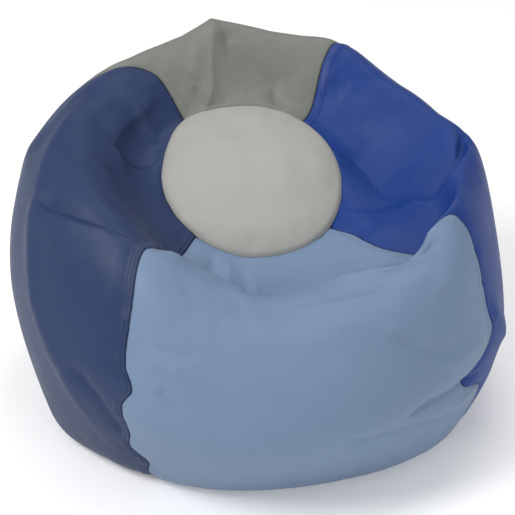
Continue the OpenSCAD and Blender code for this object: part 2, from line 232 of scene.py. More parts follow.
def fold_height(a, t, creases):
    """Height of the soft folds, or of the creases, above the plain form."""
    run, girth = np.interp(t, range(8), RUN), np.interp(t, range(8), GIRTH)
    total = np.zeros_like(a)
    for _, path, height, reach, crisp, *lean in FOLDS:
        if (crisp <= 2) != creases:
            continue
        best = np.full_like(a, 1e9)
        fade, side = np.zeros_like(a), np.zeros_like(a)
        n = len(path) - 1
        for i in range(n):
            (a0, t0), (a1, t1) = path[i], path[i + 1]
            k = math.radians(1) * girth
            run0, run1 = np.interp((t0, t1), range(8), RUN)
            x1, y1 = (((a1 - a0 + 180) % 360) - 180) * k, run1 - run0
            x, y = (((a - a0 + 180) % 360) - 180) * k, run - run0
            s = np.clip((x * x1 + y * y1) / np.maximum(x1 * x1 + y1 * y1, 1), 0, 1)
            d = np.hypot(x - s * x1, y - s * y1)
            closer = d < best
            best = np.where(closer, d, best)
            fade = np.where(closer, (i + s) / n, fade)
            side = np.where(closer, (x1 * y - y1 * x) / np.hypot(x1, y1), side)
        ends = ease(fade / 0.25 + 0.25) * ease((1 - fade) / 0.25 + 0.25)
        spread = reach * (1 + (lean[0] if lean else 0) * np.tanh(side / 1.5))
        total = total + height * ends * np.exp(-(np.sqrt(best ** 2 + crisp ** 2) - crisp) / spread)
    return total


def seam_at(s, t):
    v = np.array(SEAMS[s % 4], float)
    i = np.clip(np.floor(t).astype(int), 0, RINGS - 1)
    f = t - i
    out = smooth(v[np.maximum(i - 1, 0)], v[i], v[i + 1], v[np.minimum(i + 2, RINGS)], f)
    for k, at, reach, deg in SEAM_KINKS:
        if k == s % 4:
            out = out + deg * np.exp(-((t - at) / reach) ** 2)
    return out + (360 if s > 3 else 0)


def across(s, u, t):
    """Direction at share u of the way from seam s to the next."""
    return seam_at(s, t) + u * (seam_at(s + 1, t) - seam_at(s, t))


def lengths(pts):
    """Length along a line of points, at each of them."""
    return np.concatenate([[0], np.cumsum(np.linalg.norm(np.diff(pts, axis=0), axis=1))])


def waviness(x, seed, octaves=2):
    """Smooth random wave along x, about one swing for each whole number, from -1 to 1."""
    rng = np.random.RandomState(seed)
    total, size = 0, 1.0
    for k in range(octaves):
        v = rng.uniform(-1, 1, 512)
        y = np.asarray(x) * 2 ** k + 37.3 * k
        i = np.floor(y).astype(int)
        f = y - i
        total = total + size * smooth(*(v[(i + j) % 512] for j in (-1, 0, 1, 2)), f)
        size *= 0.5
    return total / 1.4


# ---- the filled cover

COLS, ROWS = 56, 112  # cloth grid of one side panel
PRESSURE, LAST_FRAME, FARTHEST = 5, 24, 14
SWELL, BROAD, FINE = 0.1, 0.3, 0.12  # share kept of the cloth's swell, soft waves and small wrinkles
# how firmly the cloth is held near its form: free cloth, cap, cap edge, foot
HOLD_FREE, HOLD_CAP, HOLD_EDGE, HOLD_FOOT = 0.16, 0.3, 0.9, 1.0
HOLD_SEAM = ((0, 0.85), (1, 0.5), (-1, 0.5), (2, 0.3), (-2, 0.3))  # columns from a seam, hold
CAP_Q = np.array([0.1, 0.22, 0.34, 0.46, 0.56, 0.65, 0.73, 0.8, 0.86, 0.91, 0.955])
FLOOR_Q = np.array([0.94, 0.8, 0.6, 0.4, 0.2])
ROW_T = np.linspace(0, RINGS, ROWS + 1)


def designed_grid():
    u = np.arange(COLS) / COLS
    a = np.concatenate([across(s, u[:, None], ROW_T[None, :]) for s in range(4)])
    t = np.broadcast_to(ROW_T, a.shape)
    h = fold_height(a, t, False) * ease(t / 0.25) * ease((RINGS - t) / 0.4)
    side = plain_skin(a, t) + h[..., None] * outward(a, t)
    side[..., 2] = np.maximum(side[..., 2], 0)
    cap = cap_point(np.repeat(a[:, :1], len(CAP_Q), 1), np.broadcast_to(CAP_Q, (len(a), len(CAP_Q))))
    return side, cap


def soften(x, times):
    """Evens a field out over the closed cloth, round and down."""
    for _ in range(times):
        x = 0.5 * x + 0.25 * (np.roll(x, 1, 0) + np.roll(x, -1, 0))
        wide = np.pad(x, ((0, 0), (1, 1), (0, 0)), mode="edge")
        x = 0.5 * x + 0.25 * (wide[:, 2:] + wide[:, :-2])
    return x


def grid_faces(cols, rows, closed, first=0, start=None, end=None):
    """Faces over a grid of points, fanned in to a start and an end point where given."""
    j, i = np.meshgrid(np.arange(rows - 1), np.arange(cols if closed else cols - 1))
    v = lambda c, r: first + (c % cols) * rows + r
    faces = np.stack([v(i, j), v(i, j + 1), v(i + 1, j + 1), v(i + 1, j)], -1).reshape(-1, 4).tolist()
    if start is not None:
        faces += [[start, v(c, 0), v(c + 1, 0)] for c in range(cols)]
    if end is not None:
        faces += [[end, v(c + 1, rows - 1), v(c, rows - 1)] for c in range(cols)]
    return faces


def mesh_object(name, points, faces):
    """A smooth object from points in metres."""
    mesh = bpy.data.meshes.new(name)
    mesh.from_pydata(points.tolist(), [], faces)
    mesh.shade_smooth()
    ob = bpy.data.objects.new(name, mesh)
    bpy.context.scene.collection.objects.link(ob)
    return ob


def fill_with_beads(side, cap):
    """Cloth simulation of the cover, swollen by its fill and held near its slumped form."""
    n = len(side)
    floor = side[:, -1][:, None, :] * FLOOR_Q[None, :, None]
    floor[..., 2] = 0
    rows = np.concatenate([cap, side, floor], 1)
    m = rows.shape[1]
    pts = np.concatenate([(CAP_MID + CAP_PUFF * CAP_UP)[None], rows.reshape(-1, 3), [[0, 0, 0]]])
    ob = mesh_object("cover_cloth", pts * MM, grid_faces(n, m, True, 1, 0, len(pts) - 1))
    hold = np.full((n, m), HOLD_FREE)
    k = len(CAP_Q)
    for s in range(4):
        for off, w in HOLD_SEAM:
            c = (s * COLS + off) % n
            hold[c, k:k + ROWS + 1] = np.maximum(hold[c, k:k + ROWS + 1], w)
    hold[:, k] = HOLD_EDGE
    hold[:, :k] = HOLD_CAP
    hold[:, k + ROWS - 3:] = HOLD_FOOT
    group = ob.vertex_groups.new(name="hold")
    for w in np.unique(hold):
        group.add((1 + np.flatnonzero(hold.reshape(-1) == w)).tolist(), float(w), "REPLACE")
    group.add([0], HOLD_CAP, "REPLACE")
    group.add([len(pts) - 1], HOLD_FOOT, "REPLACE")
    mod = ob.modifiers.new("Cloth", "CLOTH")
    st = mod.settings
    st.quality = 6
    st.mass = 0.4
    st.tension_stiffness = st.compression_stiffness = 30
    st.shear_stiffness = 12
    st.bending_stiffness = 4
    st.tension_damping = st.compression_damping = st.shear_damping = 12
    st.air_damping = 4
    st.use_pressure = True
    st.uniform_pressure_force = PRESSURE
    st.shrink_min = -0.03
    st.vertex_group_mass = "hold"
    st.pin_stiffness = 0.35
    st.effector_weights.gravity = 0
    mod.collision_settings.use_collision = False
    scene = bpy.context.scene
    for f in range(1, LAST_FRAME + 1):
        scene.frame_set(f)
    deps = bpy.context.evaluated_depsgraph_get()
    out = np.empty(len(pts) * 3, np.float32)
    ob.evaluated_get(deps).data.vertices.foreach_get("co", out)
    bpy.data.meshes.remove(ob.data)
    scene.frame_set(1)
    move = out.reshape(-1, 3) / MM - pts
    far = np.linalg.norm(move, axis=1, keepdims=True)
    move *= np.minimum(1, FARTHEST / np.maximum(far, 1e-6))
    print("cover moved by at most", round(float(far.max()), 1), "mm, mean", round(float(far.mean()), 1))
    fine = move[1:-1].reshape(n, m, 3)
    broad = soften(fine, 9)
    overall = soften(broad, 130)
    reach = ease((np.arange(m) - k - 2) / 9)[None, :, None]
    kept = SWELL * overall + BROAD * (broad - overall) + FINE * (fine - broad)
    rows = pts[1:-1].reshape(n, m, 3) + reach * kept
    cap, side = rows[:, :k], rows[:, k:k + ROWS + 1].copy()
    side[..., 2] = np.maximum(side[..., 2], 0)
    return side, cap


class Cover:
    """The finished cover as a smooth surface: panel s at share u across and t rings down."""

    def __init__(self, side, cap):
        n = len(side)
        self.grid = [np.concatenate([side[s * COLS:(s + 1) * COLS], side[[(s + 1) * COLS % n]]])
                     for s in range(4)]
        self.cap_rows = np.concatenate([cap, side[:, :1]], 1)
        self.cap_mid = CAP_MID + CAP_UP * ((cap[:, 0].mean(0) - CAP_MID) @ CAP_UP)

    def at(self, s, u, t):
        g = self.grid[s]
        x, y = np.clip(u, 0, 1) * COLS, np.clip(t, 0, RINGS) / RINGS * ROWS
        i, j = np.clip(x.astype(int), 0, COLS - 1), np.clip(y.astype(int), 0, ROWS - 1)
        f, h = (x - i)[..., None], (y - j)[..., None]
        def col(c):
            c0 = np.clip(c, 0, COLS)
            vals = [g[c0, np.clip(j + k, 0, ROWS)] for k in (-1, 0, 1, 2)]
            return smooth(*vals, h)
        return smooth(col(i - 1), col(i), col(i + 1), col(i + 2), f)

    def normal(self, s, u, t):
        u0, u1 = np.clip(u - 0.006, 0, 1), np.clip(u + 0.006, 0, 1)
        t0, t1 = np.clip(t - 0.04, 0, RINGS), np.clip(t + 0.04, 0, RINGS)
        return unit(np.cross(self.at(s, u, t1) - self.at(s, u, t0), self.at(s, u1, t) - self.at(s, u0, t)))

    def cap_at(self, col, q):
        """col counts the cloth columns round the cap, q goes from 0 in the middle to 1 at its edge."""
        n = len(self.cap_rows)
        knots = np.concatenate([[0], CAP_Q, [1]])
        i = col.astype(int)
        f = (col - i)[..., None]
        k = np.clip(np.searchsorted(knots, q, side="right") - 1, 0, len(knots) - 2)
        h = ((q - knots[k]) / (knots[k + 1] - knots[k]))[..., None]
        def row(r):
            r = np.clip(r, 0, len(knots) - 1)
            def one(c):
                p = self.cap_rows[c % n, np.clip(r - 1, 0, len(knots) - 2)]
                return np.where((r == 0)[..., None], self.cap_mid, p)
            return smooth(one(i - 1), one(i), one(i + 1), one(i + 2), f)
        return smooth(row(k - 1), row(k), row(k + 1), row(k + 2), h)


side, cap = designed_grid()
side, cap = fill_with_beads(side, cap)
cover = Cover(side, cap)


# ---- materials

def link(nt, a, b):
    nt.links.new(a, b)


def feed(nt, sock, x):
    """Gives a socket a number, a colour or another node's output."""
    if isinstance(x, (int, float)):
        sock.default_value = x
    elif isinstance(x, tuple):
        sock.default_value = (*x, 1)
    else:
        link(nt, x, sock)


def group(name, inputs, outputs):
    g = bpy.data.node_groups.new(name, "ShaderNodeTree")
    for n, kind, value in inputs:
        sock = g.interface.new_socket(name=n, in_out="INPUT", socket_type=kind)
        if value is not None:
            sock.default_value = value
    for n, kind in outputs:
        g.interface.new_socket(name=n, in_out="OUTPUT", socket_type=kind)
    return g, g.nodes.new("NodeGroupInput"), g.nodes.new("NodeGroupOutput")


def calc(nt, op, a, b=None, c=None, clamp=False):
    """One step of arithmetic in a material."""
    n = nt.nodes.new("ShaderNodeMath")
    n.operation = op
    n.use_clamp = clamp
    for k, x in enumerate((a, b, c)):
        if x is not None:
            feed(nt, n.inputs[k], x)
    return n.outputs[0]


def noise(nt, vector, scale, detail=2.0, rough=0.5):
    n = nt.nodes.new("ShaderNodeTexNoise")
    n.inputs["Scale"].default_value = scale
    n.inputs["Detail"].default_value = detail
    n.inputs["Roughness"].default_value = rough
    link(nt, vector, n.inputs["Vector"])
    return n.outputs["Fac"]


def mix_colour(nt, fac, a, b, mode="MIX"):
    n = nt.nodes.new("ShaderNodeMix")
    n.data_type, n.blend_type = "RGBA", mode
    for key, x in (("Factor", fac), ("A", a), ("B", b)):
        feed(nt, n.inputs[key], x)
    return n.outputs["Result"]


def spread(nt, x, lo, hi, out_lo, out_hi):
    n = nt.nodes.new("ShaderNodeMapRange")
    n.interpolation_type = "SMOOTHSTEP"
    link(nt, x, n.inputs["Value"])
    for k, v in (("From Min", lo), ("From Max", hi), ("To Min", out_lo), ("To Max", out_hi)):
        n.inputs[k].default_value = v
    return n.outputs["Result"]


def vinyl_grain_group():
    """Embossed hide grain: small pebbles parted by fine furrows, with broad unevenness."""
    g, gi, go = group("Vinyl grain",
                      [("Vector", "NodeSocketVector", None), ("Pebbles per metre", "NodeSocketFloat", 700.0)],
                      [("Height", "NodeSocketFloat"), ("Furrow", "NodeSocketFloat")])
    warp = g.nodes.new("ShaderNodeTexNoise")
    warp.inputs["Scale"].default_value = 260
    link(g, gi.outputs["Vector"], warp.inputs["Vector"])
    off = g.nodes.new("ShaderNodeVectorMath")
    off.operation = "MULTIPLY_ADD"
    off.inputs[1].default_value = (0.0011, 0.0011, 0.0011)
    link(g, warp.outputs["Color"], off.inputs[0])
    link(g, gi.outputs["Vector"], off.inputs[2])
    cells = g.nodes.new("ShaderNodeTexVoronoi")
    cells.feature = "DISTANCE_TO_EDGE"
    link(g, off.outputs[0], cells.inputs["Vector"])
    link(g, gi.outputs["Pebbles per metre"], cells.inputs["Scale"])
    pebble = spread(g, cells.outputs["Distance"], 0.0, 0.22, 0.0, 1.0)
    fine = noise(g, gi.outputs["Vector"], 2600, 1)
    broad = noise(g, gi.outputs["Vector"], 95, 2)
    h = calc(g, "MULTIPLY_ADD", pebble, 0.62, calc(g, "MULTIPLY", fine, 0.12))
    h = calc(g, "MULTIPLY_ADD", broad, 0.9, h)
    link(g, h, go.inputs["Height"])
    link(g, calc(g, "SUBTRACT", 1.0, pebble), go.inputs["Furrow"])
    return g


def wear_and_seam_shade_group():
    """Colour of the cover: broad fading, darker furrows, crests rubbed by use, and painted shade darkening the
    seams.
    """
    g, gi, go = group("Wear and seam shade",
                      [("Vector", "NodeSocketVector", None), ("Colour", "NodeSocketColor", (0.5, 0.5, 0.5, 1)),
                       ("Furrow", "NodeSocketFloat", 0.0), ("Rubbed", "NodeSocketFloat", 0.0),
                       ("Seam", "NodeSocketFloat", 0.0)],
                      [("Colour", "NodeSocketColor"), ("Patches", "NodeSocketFloat")])
    broad = noise(g, gi.outputs["Vector"], 6.5, 3, 0.55)
    mottle = noise(g, gi.outputs["Vector"], 38, 4, 0.6)
    patches = calc(g, "MULTIPLY_ADD", mottle, 0.35, calc(g, "MULTIPLY", broad, 0.65))
    shade = spread(g, patches, 0.3, 0.72, 0.965, 1.035)
    shade = calc(g, "MULTIPLY", shade, spread(g, gi.outputs["Furrow"], 0.0, 1.0, 1.0, 0.95))
    # painted shade: the colour darkens towards the seams, down to 0.62 of itself
    shade = calc(g, "MULTIPLY", shade, spread(g, gi.outputs["Seam"], 0.0, 1.0, 1.0, 0.62))
    grey = g.nodes.new("ShaderNodeCombineColor")
    for k in range(3):
        link(g, shade, grey.inputs[k])
    tinted = mix_colour(g, 1.0, gi.outputs["Colour"], grey.outputs[0], "MULTIPLY")
    rub = calc(g, "MULTIPLY", gi.outputs["Rubbed"], spread(g, mottle, 0.35, 0.65, 0.03, 0.13))
    pale = mix_colour(g, 0.55, gi.outputs["Colour"], (0.62, 0.62, 0.6))
    link(g, mix_colour(g, rub, tinted, pale), go.inputs["Colour"])
    link(g, patches, go.inputs["Patches"])
    return g


def weave_group():
    """Plain weave: threads crossing over and under along two directions."""
    g, gi, go = group("Weave",
                      [("Vector", "NodeSocketVector", None), ("Threads per metre", "NodeSocketFloat", 1600.0)],
                      [("Height", "NodeSocketFloat"), ("Gap", "NodeSocketFloat")])
    sep = g.nodes.new("ShaderNodeSeparateXYZ")
    link(g, gi.outputs["Vector"], sep.inputs[0])
    k = calc(g, "MULTIPLY", gi.outputs["Threads per metre"], math.pi)
    along = calc(g, "ADD", sep.outputs[0], sep.outputs[2])
    over = calc(g, "ADD", sep.outputs[1], calc(g, "MULTIPLY", sep.outputs[2], 0.3))
    sx = calc(g, "SINE", calc(g, "MULTIPLY", along, k))
    sy = calc(g, "SINE", calc(g, "MULTIPLY", over, k))
    h = calc(g, "MULTIPLY_ADD", calc(g, "MULTIPLY", sx, sy), 0.5, 0.5)
    link(g, h, go.inputs["Height"])
    top = calc(g, "MAXIMUM", calc(g, "ABSOLUTE", sx), calc(g, "ABSOLUTE", sy))
    link(g, calc(g, "SUBTRACT", 1.0, top), go.inputs["Gap"])
    return g


GRAIN, WEAR_AND_SEAM_SHADE, WEAVE = vinyl_grain_group(), wear_and_seam_shade_group(), weave_group()


def new_material(name):
    m = bpy.data.materials.new(name)
    m.use_nodes = True
    nt = m.node_tree
    return m, nt, nt.nodes["Principled BSDF"], nt.nodes.new("ShaderNodeTexCoord").outputs["Object"]


def use(nt, g, **values):
    n = nt.nodes.new("ShaderNodeGroup")
    n.node_tree = g
    for key, x in values.items():
        feed(nt, n.inputs[key.replace("_", " ")], x)
    return n


def attribute(nt, name):
    n = nt.nodes.new("ShaderNodeAttribute")
    n.attribute_name = name
    return n.outputs["Fac"]


def bump(nt, shader, height, depth, strength=1.0):
    b = nt.nodes.new("ShaderNodeBump")
    b.inputs["Distance"].default_value = depth
    b.inputs["Strength"].default_value = strength
    link(nt, height, b.inputs["Height"])
    link(nt, b.outputs[0], shader.inputs["Normal"])


def vinyl(name, colour, gloss=0.44):
    m, nt, sh, where = new_material(name)
    grain = use(nt, GRAIN, Vector=where, Pebbles_per_metre=720.0)
    # the seam mark paints shade into the colour along the seams; the rubbed mark is wear
    worn_and_shaded = use(nt, WEAR_AND_SEAM_SHADE, Vector=where, Colour=colour, Furrow=grain.outputs["Furrow"],
               Rubbed=attribute(nt, "rubbed"), Seam=attribute(nt, "seam"))
    link(nt, worn_and_shaded.outputs["Colour"], sh.inputs["Base Color"])
    rough = spread(nt, worn_and_shaded.outputs["Patches"], 0.3, 0.7, gloss - 0.05, gloss + 0.07)
    rough = calc(nt, "MULTIPLY_ADD", grain.outputs["Furrow"], 0.12, rough)
    link(nt, rough, sh.inputs["Roughness"])
    sh.inputs["Specular IOR Level"].default_value = 0.26
    bump(nt, sh, grain.outputs["Height"], 0.00014, 0.6)
    return m


def thread(name, colour):
    m, nt, sh, where = new_material(name)
    fuzz = noise(nt, where, 3800, 2)
    twist = noise(nt, where, 1300, 1)
    dark = tuple(0.72 * c for c in colour)
    link(nt, mix_colour(nt, spread(nt, twist, 0.35, 0.65, 0, 1), dark, colour), sh.inputs["Base Color"])
    link(nt, spread(nt, fuzz, 0.3, 0.7, 0.5, 0.72), sh.inputs["Roughness"])
    sh.inputs["Sheen Weight"].default_value = 0.25
    bump(nt, sh, twist, 0.00015)
    return m


def cloth(name, colour, threads, gap=0.7):
    m, nt, sh, where = new_material(name)
    w = use(nt, WEAVE, Vector=where, Threads_per_metre=threads)
    dark = tuple(gap * c for c in colour)
    gaps = calc(nt, "MULTIPLY", w.outputs["Gap"], 0.8)
    tone = calc(nt, "MULTIPLY_ADD", noise(nt, where, 30, 3), 0.5, gaps, clamp=True)
    link(nt, mix_colour(nt, tone, colour, dark), sh.inputs["Base Color"])
    link(nt, spread(nt, noise(nt, where, 60, 2), 0.3, 0.7, 0.75, 0.9), sh.inputs["Roughness"])
    sh.inputs["Sheen Weight"].default_value = 0.2
    bump(nt, sh, w.outputs["Height"], 0.00012)
    return m


def zip_metal(name, colour):
    m, nt, sh, where = new_material(name)
    scuff = noise(nt, where, 900, 3, 0.65)
    bright = tuple(min(1, 1.5 * c) for c in colour)
    link(nt, mix_colour(nt, spread(nt, scuff, 0.5, 0.7, 0, 1), colour, bright), sh.inputs["Base Color"])
    link(nt, spread(nt, scuff, 0.3, 0.7, 0.28, 0.5), sh.inputs["Roughness"])
    sh.inputs["Metallic"].default_value = 0.85
    bump(nt, sh, scuff, 0.00003)
    return m


def bead_mass(name, colour):
    m, nt, sh, where = new_material(name)
    v = nt.nodes.new("ShaderNodeTexVoronoi")
    v.inputs["Scale"].default_value = 260
    link(nt, where, v.inputs["Vector"])
    shade = tuple(0.55 * c for c in colour)
    gaps = spread(nt, v.outputs["Distance"], 0.35, 0.75, 0, 1)
    link(nt, mix_colour(nt, gaps, colour, shade), sh.inputs["Base Color"])
    link(nt, spread(nt, noise(nt, where, 400, 2), 0.3, 0.7, 0.6, 0.8), sh.inputs["Roughness"])
    b = calc(nt, "SUBTRACT", 1.0, v.outputs["Distance"])
    bump(nt, sh, b, 0.002)
    return m


def nylon(name, dark, light):
    m, nt, sh, where = new_material(name)
    tone = noise(nt, where, 700, 2)
    link(nt, mix_colour(nt, tone, dark, light), sh.inputs["Base Color"])
    link(nt, spread(nt, tone, 0.3, 0.7, 0.35, 0.5), sh.inputs["Roughness"])
    return m


VINYL = {
    "navy": vinyl("navy_vinyl", (0.014, 0.031, 0.092)),
    "grey": vinyl("grey_vinyl", (0.166, 0.171, 0.154)),
    "royal": vinyl("royal_blue_vinyl", (0.005, 0.034, 0.190)),
    "light_blue": vinyl("light_blue_vinyl", (0.146, 0.213, 0.324)),
    "pale_grey": vinyl("pale_grey_vinyl", (0.335, 0.330, 0.308), 0.48),
}
THREAD = {
    "navy": thread("navy_thread", (0.040, 0.060, 0.135)),
    "grey": thread("grey_thread", (0.21, 0.215, 0.19)),
    "royal": thread("royal_blue_thread", (0.03, 0.065, 0.26)),
    "light_blue": thread("light_blue_thread", (0.15, 0.225, 0.34)),
}
TAPE = cloth("zip_tape_weave", (0.035, 0.045, 0.09), 1500)
LABEL = cloth("label_weave", (0.78, 0.78, 0.75), 2200, 0.85)
LINER = cloth("inner_bag_cloth", (0.80, 0.80, 0.77), 900, 0.8)
METAL = zip_metal("zip_enamel", (0.30, 0.31, 0.33))
BEADS = bead_mass("bead_white", (0.88, 0.88, 0.86))
COIL = nylon("zip_nylon", (0.03, 0.04, 0.08), (0.055, 0.07, 0.12))


# ---- mesh helpers

def finish_piece(ob, material, nodes):
    ob.data.materials.clear()
    ob.data.materials.append(material)
    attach(ob, BODY)
    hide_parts(*nodes)
    return ob


def sheet_object(name, pts, wall=0, marks=None, ends=None):
    """A sheet from a grid of points (columns, rows), given a wall on its inner side. With ends it
    closes round, and runs in to a point at its start and, if there is a second one, at its end."""
    n, m = pts.shape[:2]
    verts = pts.reshape(-1, 3)
    fans = [n * m + k for k in range(len(ends or ()))]
    if ends:
        verts = np.concatenate([verts, ends])
    ob = mesh_object(name, verts * MM, grid_faces(n, m, bool(ends), 0, *fans))
    for key, values in (marks or {}).items():
        att = ob.data.attributes.new(key, "FLOAT", "POINT")
        data = np.zeros(len(verts), np.float32)
        data[:n * m] = values.reshape(-1)
        att.data.foreach_set("value", data)
    ob.data.validate()
    if wall:
        give_wall(ob, wall)
    return ob


def select_only(*obs):
    bpy.ops.object.select_all(action="DESELECT")
    for ob in obs:
        ob.select_set(True)
        bpy.context.view_layer.objects.active = obs[0]


def apply(ob, mod):
    select_only(ob)
    bpy.ops.object.modifier_apply(modifier=mod.name)


def give_wall(ob, wall):
    mod = ob.modifiers.new("Wall", "SOLIDIFY")
    mod.thickness, mod.offset = wall * MM, -1
    apply(ob, mod)


def face_down(ob):
    """Turns an open sheet over if its outer side looks up."""
    if sum(f.normal.z * f.area for f in ob.data.polygons) > 0:
        ob.data.flip_normals()


# ---- side panels

ROW_ONE, ROW_GAP = 3.5, 5.7  # stitch rows, from the seam
ROW_TWO = ROW_ONE + ROW_GAP
NAMES = ["grey", "navy", "light_blue", "royal"]  # panel s lies between seam s and seam s + 1
# distances of the columns from a panel's plain edge and from its topstitched one
PLAIN_EDGE = [0, 0.35, 0.9, 1.7, 2.8, 4.2, 6, 8.2, 11, 14.5, 19, 25, 32]
SEWN_EDGE = [0, 0.35, 0.9, 1.7, 2.4, 3.0, 3.5, 4.0, 4.7, 5.6, 6.6, 7.5, 8.3,
             8.8, 9.2, 9.6, 10.2, 11, 12, 13.2, 14.8, 17.5, 21, 26, 32]
STEPS_DOWN = [22, 20, 24, 36, 52, 60, 22]  # steps from each ring to the next
MIDDLE = 112  # columns between the two edges


def rows_down():
    t = [0.0]
    for k, n in enumerate(STEPS_DOWN):
        t += [k + (i + 1) / n for i in range(n)]
    return np.array(t)


def lengths_across(s, t):
    u = np.linspace(0, 1, 181)
    p = cover.at(s, np.repeat(u[:, None], len(t), 1), np.repeat(t[None], 181, 0))
    d = np.linalg.norm(np.diff(p, axis=0), axis=2)
    return u, np.concatenate([np.zeros((1, len(t))), np.cumsum(d, 0)])


def run_down(s, u, t):
    return lengths(cover.at(s, np.full(len(t), float(u)), t))


def roll(d, r):
    """How far a rounded edge of radius r drops at distance d from it."""
    x = np.clip(r - d, 0, r)
    return r - np.sqrt(r * r - x * x)


def relief(s, u, d_plain, d_sewn, run_plain, run_sewn, run_top, girth, t):
    """Height of the small relief on a panel: creases, seams, stitch rows, puckers."""
    h = -roll(d_plain, 2.2) - roll(d_sewn, 1.8)
    h -= 3.0 * np.exp(-d_plain / 9) + 4.2 * np.exp(-d_sewn / 12)
    lump = 1.3 * (1 - ease((d_sewn - 10.2) / 4.2))
    lump = lump * (1 + 0.22 * waviness(run_sewn / 7.5, 11 + s))
    h += lump
    for row in (ROW_ONE, ROW_TWO):
        h -= 0.55 * np.exp(-((d_sewn - row) / 0.75) ** 2)
    for d, run, seed, reach in ((d_plain, run_plain, 40 + s, 20), (d_sewn, run_sewn, 40 + (s + 1) % 4, 26)):
        h += 0.5 * np.exp(-d / 7) * waviness(run / 8.5, seed, 2)
        h += 1.5 * np.exp(-d / reach) * waviness(run / 34 + d / 60, seed + 9, 2)
    h -= roll(run_top, 3.2) + 3.0 * np.exp(-run_top / 9)
    gathers = 1.3 * np.exp(-run_top / 15) * waviness(girth / 13, 71 + s, 2)
    gathers += 1.6 * np.exp(-run_top / 34) * waviness(girth / 36, 81 + s, 1)
    h += gathers * ease(run_top / 2.5)
    h += 0.35 * waviness(girth / 62 + 3 * t, 5 + s, 2) * waviness(t * 5.1, 25 + s, 1)
    creases = fold_height(across(s, u, t) % 360, t, True)
    return h + creases * ease(t / 0.15) * ease((RINGS - t) / 0.3)


def side_panel(s):
    t = rows_down()
    u, run = lengths_across(s, t)
    width = run[-1]
    cols = []
    for d in PLAIN_EDGE:
        cols.append([np.interp(min(d, 0.3 * w), run[:, j], u) for j, w in enumerate(width)])
    for d in SEWN_EDGE:
        cols.append([np.interp(w - min(d, 0.3 * w), run[:, j], u) for j, w in enumerate(width)])
    a, b = np.array(cols[len(PLAIN_EDGE) - 1]), np.array(cols[-1])
    mid = [a + (b - a) * (k + 1) / (MIDDLE + 1) for k in range(MIDDLE)]
    uu = np.array(cols[:len(PLAIN_EDGE)] + mid + cols[len(PLAIN_EDGE):][::-1])
    tt = np.repeat(t[None], len(uu), 0)
    d0 = np.stack([np.interp(uu[:, j], u, run[:, j]) for j in range(len(t))], 1)
    d1 = width[None] - d0
    runs = np.array([run_down(s, q, t) for q in (0, 0.5, 1)])
    top = np.stack([np.interp(uu[:, j], [0, 0.5, 1], runs[:, j]) for j in range(len(t))], 1)
    h = relief(s, uu, d0, d1, runs[:1] + 0 * d0, runs[2:] + 0 * d0, top, d0, tt)
    skin, nrm = cover.at(s, uu, tt), cover.normal(s, uu, tt)
    p = skin + h[..., None] * nrm
    p[..., 2] = np.maximum(p[..., 2], FLOOR_GAP)
    # painted shade: the seam mark darkens the colour in the seam valleys along the panel's edges
    seam = np.clip(np.exp(-d0 / 1.6) + np.exp(-d1 / 1.3) + np.exp(-top / 2.2), 0, 1)
    bend = np.zeros_like(h)
    around = 0.25 * (skin[4:, 2:-2] + skin[:-4, 2:-2] + skin[2:-2, 4:] + skin[2:-2, :-4])
    bend[2:-2, 2:-2] = ((skin[2:-2, 2:-2] - around) * nrm[2:-2, 2:-2]).sum(-1)
    rubbed = np.clip(bend / 1.6, 0, 1) + 0.6 * (np.exp(-((d1 - 6) / 5) ** 2)) * (tt > 1.5) * (tt < 4.2)
    # turned-in allowances along all four edges
    p = np.concatenate([p[:1] - 5 * nrm[:1], p, p[-1:] - 5 * nrm[-1:]])
    nrm = np.concatenate([nrm[:1], nrm, nrm[-1:]])
    p = np.concatenate([p[:, :1] - 6 * nrm[:, :1], p, p[:, -1:] - 4 * nrm[:, -1:] + [0, 0, 3.0]], 1)
    p[..., 2] = np.maximum(p[..., 2], FLOOR_GAP)
    # the turned-in allowances carry the full painted seam shade
    marks = {"seam": np.pad(seam, 1, constant_values=1.0), "rubbed": np.pad(np.clip(rubbed, 0, 1), 1)}
    ob = sheet_object("side_panel_" + NAMES[s], p, VINYL_WALL, marks)
    return finish_piece(ob, VINYL[NAMES[s]], ["panel_" + NAMES[s]])


for s in range(4):
    side_panel(s)


# ---- stitches

def stitch_shape():
    """One lockstitch, 1 long and lying along x, with its ends dipping into the holes."""
    rings = [(-0.5, -0.55, 0.35), (-0.4, 0.05, 0.85), (-0.15, 0.42, 1.0),
             (0.15, 0.42, 1.0), (0.4, 0.05, 0.85), (0.5, -0.55, 0.35)]
    pts, faces, k = [], [], 6
    for x, z, w in rings:
        for i in range(k):
            b = 2 * math.pi * i / k
            pts.append((x, w * math.cos(b), z + 0.8 * w * math.sin(b)))
    for r in range(len(rings) - 1):
        for i in range(k):
            j = (i + 1) % k
            faces.append((r * k + i, r * k + j, (r + 1) * k + j, (r + 1) * k + i))
    faces.append(tuple(range(k))[::-1])
    faces.append(tuple((len(rings) - 1) * k + i for i in range(k)))
    return np.array(pts), faces


def place(d, run, pts):
    return np.array([np.interp(d, run, pts[:, k]) for k in range(3)])


def sew(name, lines, pitch=4.0, length=3.3, width=0.42, seed=0):
    """Stitches along lines, each (points, normals); one mesh with a plain shape repeated."""
    shape, faces = stitch_shape()
    rng = np.random.RandomState(seed)
    verts, polys = [], []
    for pts, nrm in lines:
        run = lengths(pts)
        for d in np.arange(pitch, run[-1] - pitch, pitch):
            at = place(d, run, pts)
            up = unit(place(d, run, nrm))
            x = unit(place(d + 1.2, run, pts) - place(d - 1.2, run, pts))
            y = unit(np.cross(up, x))
            x = unit(x + y * rng.uniform(-0.05, 0.05))
            y, up = np.cross(up, x), unit(np.cross(x, y))
            size = length * rng.uniform(0.95, 1.04)
            base = len(verts) * len(shape)
            verts.append(at + shape[:, :1] * size * x + shape[:, 1:2] * width * y
                         + (shape[:, 2:] * width + 0.05) * up)
            polys += [tuple(base + i for i in f) for f in faces]
    return mesh_object(name, np.concatenate(verts) * MM, polys)


